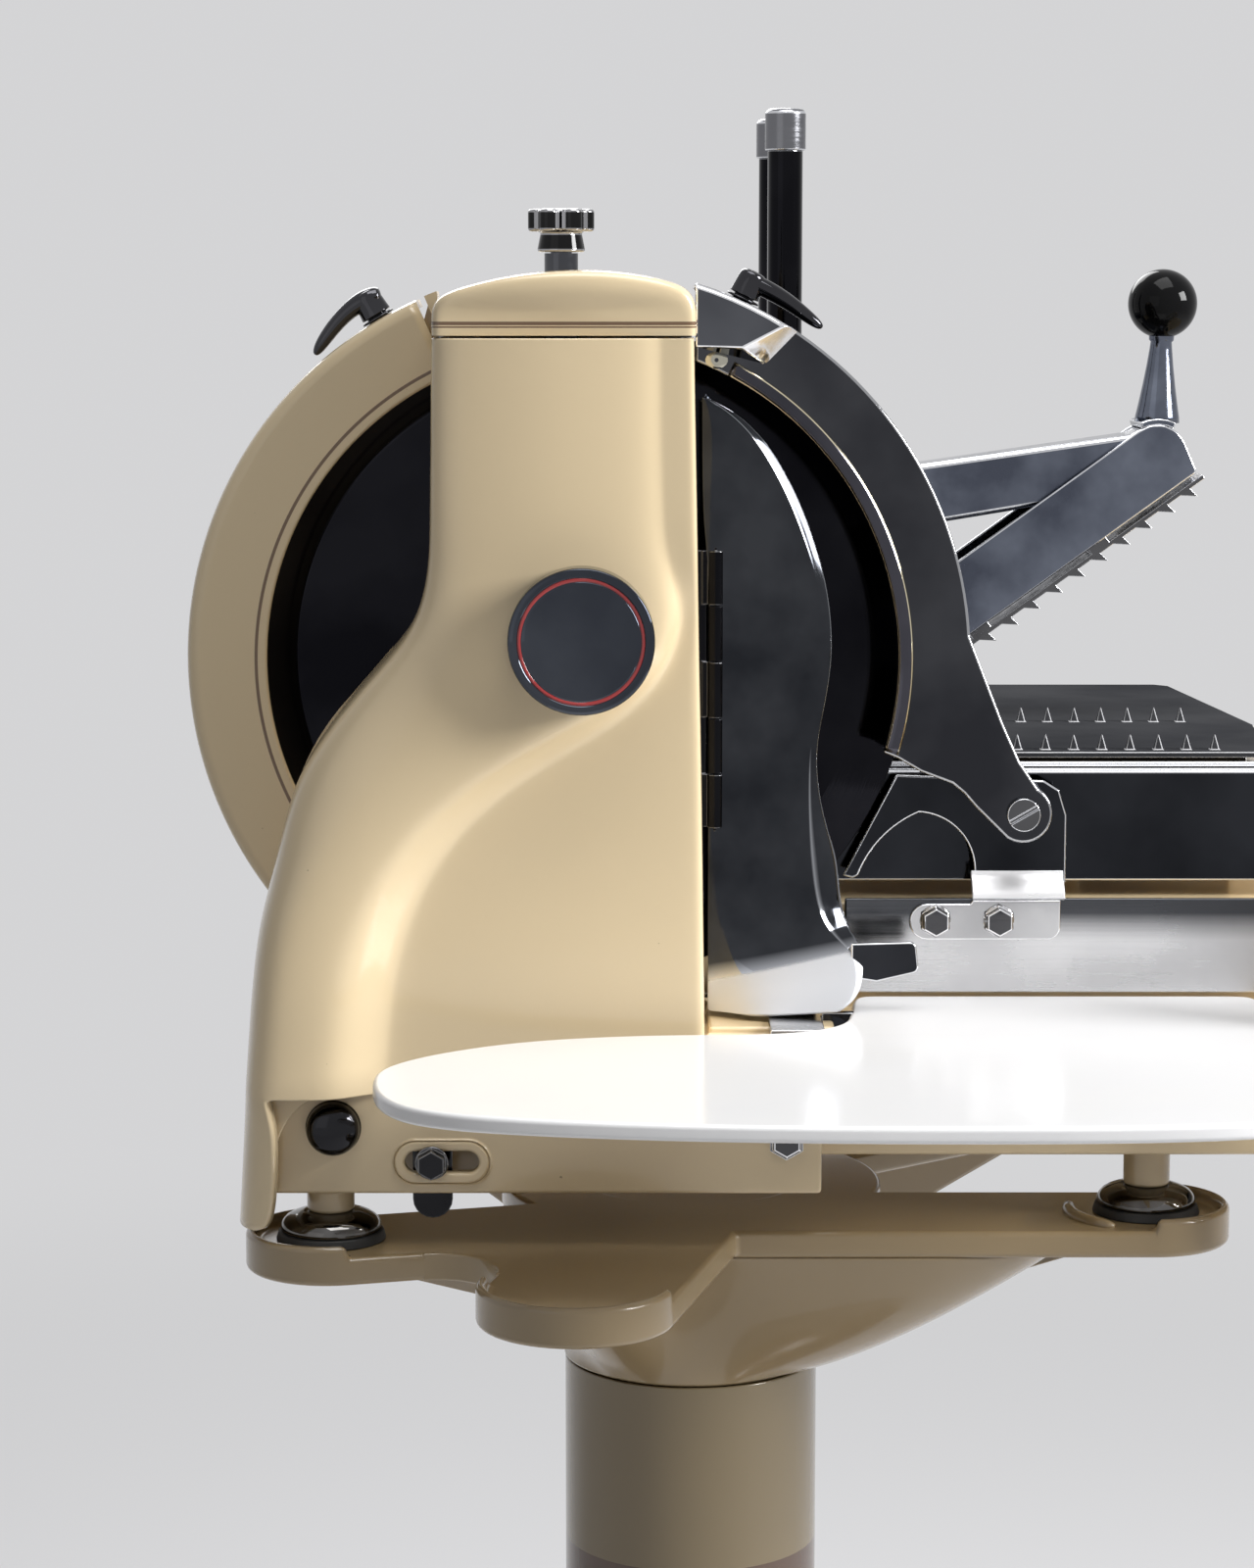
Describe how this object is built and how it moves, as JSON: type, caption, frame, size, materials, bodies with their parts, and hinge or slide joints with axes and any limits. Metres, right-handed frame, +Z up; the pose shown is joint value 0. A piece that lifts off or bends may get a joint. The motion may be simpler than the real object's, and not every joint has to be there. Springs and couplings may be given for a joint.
{
  "type": "flywheel meat slicer",
  "caption": "Hand cranked meat slicer on a pedestal: a disc knife in a ring guard behind an enamelled casing, a sliding carriage with a toothed press, and a slice tray.",
  "frame": {"origin": "on the floor, on the axis of the pedestal's column, at the centre of the floor bolts", "axes": "+Z up, +X the way the carriage draws back, to the right as the operator sees it, +Y away from the operator"},
  "size_m": [0.8993, 0.6857, 1.364],
  "materials": {
    "cream": "gloss",
    "stand_paint": "gloss",
    "polished": "polished",
    "chrome": "polished",
    "knife_steel": "satin",
    "plain_steel": "satin",
    "iron": "matte",
    "table_metal": "satin",
    "bronze": "satin",
    "rubber": "matte",
    "black_knobs": "gloss",
    "white": "gloss",
    "smoked": "matte",
    "stone": "matte"
  },
  "bodies": {
    "stand": {"pedestal_base": "stand_paint", "pedestal_column": "stand_paint", "pedestal_head": "stand_paint", "foot_domes": "chrome", "foot_rings": "rubber", "bed": "cream", "main_casing": "cream", "casing_back_plate": "cream", "top_cover": "cream", "hub_cap": "polished", "left_ring_guard": "cream", "guard_bracket": "polished", "guard_pivot_screw": "chrome", "bracket_bolts": "chrome", "front_apron": "polished", "bed_bolt": "chrome", "shaft_bearings": "bronze", "upper_chain": "plain_steel", "lower_chain": "plain_steel", "slide_rods": "plain_steel", "deflector_hinge": "polished", "receiving_tray": "white"},
    "tensioner": {"tension_bolt": "plain_steel", "tension_tongue": "smoked"},
    "hand_wheel": {"flywheel": "stand_paint", "grip_pin": "plain_steel", "main_shaft": "plain_steel", "drive_pinion": "plain_steel", "drive_sprocket": "plain_steel"},
    "grip": {"crank_grip": "black_knobs"},
    "crown": {"crown_wheel": "iron"},
    "rod": {"connecting_rod": "plain_steel"},
    "idler": {"idler_shaft": "plain_steel", "idler_sprockets": "plain_steel"},
    "blade": {"knife": "knife_steel", "knife_shaft": "plain_steel", "knife_sprocket": "plain_steel"},
    "slide": {"carriage": "iron", "upper_apron": "polished", "ribbed_strip": "polished"},
    "table": {"table_slide": "table_metal", "meat_plate": "table_metal", "posts": "chrome", "post_caps": "chrome"},
    "feed": {"feed_screw": "plain_steel", "feed_knob": "black_knobs"},
    "press": {"press_arm": "polished"},
    "jaw": {"press_jaw": "polished", "jaw_teeth": "knife_steel", "ball_lever": "polished", "ball_knob": "black_knobs"},
    "swing_guard": {"right_ring_guard": "polished", "guard_bead": "polished"},
    "right_clamp": {"right_guard_lever": "polished"},
    "left_clamp": {"left_guard_lever": "polished"},
    "slice_deflector": {"deflector": "polished"},
    "sharpener": {"sharpener_stem": "chrome", "sharpening_stones": "stone"},
    "sharpener_handle": {"sharpener_knob": "black_knobs"}
  },
  "joints": [
    {"name": "flywheel_spin", "type": "hinge", "parent": "stand", "child": "hand_wheel", "pos_m": [0.47931, -0.146, 0.908], "axis": [0, 1, 0], "continuous": true},
    {"name": "grip_spin", "type": "hinge", "parent": "hand_wheel", "child": "grip", "pos_m": [0.54331, -0.212, 1.01885], "axis": [0, 1, 0], "continuous": true},
    {"name": "crown_turn", "type": "hinge", "parent": "stand", "child": "crown", "pos_m": [0.47931, 0.0735, 0.862], "axis": [0, 0, 1], "continuous": true},
    {"name": "rod_swing", "type": "hinge", "parent": "crown", "child": "rod", "pos_m": [0.58431, 0.0735, 0.838], "axis": [0, 0, 1], "continuous": true},
    {"name": "idler_turn", "type": "hinge", "parent": "stand", "child": "idler", "pos_m": [-0.059, -0.06, 0.86861], "axis": [0, 1, 0], "continuous": true},
    {"name": "knife_spin", "type": "hinge", "parent": "stand", "child": "blade", "pos_m": [-0.059, -0.056, 1.078], "axis": [0, 1, 0], "continuous": true},
    {"name": "carriage_slide", "type": "slide", "parent": "stand", "child": "slide", "axis": [1, 0, 0], "range_m": [-0.21, 0]},
    {"name": "table_feed", "type": "slide", "parent": "slide", "child": "table", "axis": [0, -1, 0], "range_m": [-0.1, 0.028]},
    {"name": "feed_turn", "type": "hinge", "parent": "slide", "child": "feed", "pos_m": [0.25, 0.09, 0.995], "axis": [0, 1, 0], "continuous": true},
    {"name": "press_slide", "type": "slide", "parent": "table", "child": "press", "axis": [0, 0, 1], "range_m": [-0.004, 0.14]},
    {"name": "jaw_swing", "type": "hinge", "parent": "press", "child": "jaw", "pos_m": [0.263, 0.155, 1.17], "axis": [0, 1, 0], "range_deg": [-8, 20]},
    {"name": "guard_swing", "type": "hinge", "parent": "stand", "child": "swing_guard", "pos_m": [0.168, -0.076, 0.999], "axis": [0, 1, 0], "range_deg": [0, 60]},
    {"name": "right_lever_turn", "type": "hinge", "parent": "swing_guard", "child": "right_clamp", "pos_m": [0.02352, -0.0615, 1.25908], "axis": [0.4147, 0, 0.91], "range_deg": [0, 90]},
    {"name": "left_lever_turn", "type": "hinge", "parent": "stand", "child": "left_clamp", "pos_m": [-0.16, -0.0615, 1.24946], "axis": [0.5075, 0, -0.8616], "range_deg": [0, 90]},
    {"name": "deflector_swing", "type": "hinge", "parent": "stand", "child": "slice_deflector", "pos_m": [0.01, -0.096, 1.065], "axis": [0, 0, -1], "range_deg": [0, 30]},
    {"name": "sharpener_push", "type": "slide", "parent": "stand", "child": "sharpener", "axis": [0, 0, 1], "range_m": [-0.006, 0]},
    {"name": "sharpener_turn", "type": "hinge", "parent": "sharpener", "child": "sharpener_handle", "pos_m": [-0.067, -0.11, 1.29], "axis": [0, 0, 1], "range_deg": [0, 180]},
    {"name": "tensioner_slide", "type": "slide", "parent": "stand", "child": "tensioner", "axis": [1, 0, 0], "range_m": [-0.006, 0.016]}
  ],
  "couplings": [
    {"joint": "crown_turn", "follows": "flywheel_spin", "ratio": -0.33333},
    {"joint": "rod_swing", "follows": "flywheel_spin", "ratio": 0.33333},
    {"joint": "idler_turn", "follows": "flywheel_spin", "ratio": 1},
    {"joint": "knife_spin", "follows": "flywheel_spin", "ratio": 1.3333},
    {"joint": "feed_turn", "follows": "table_feed", "rad_per_m": 628.32}
  ]
}
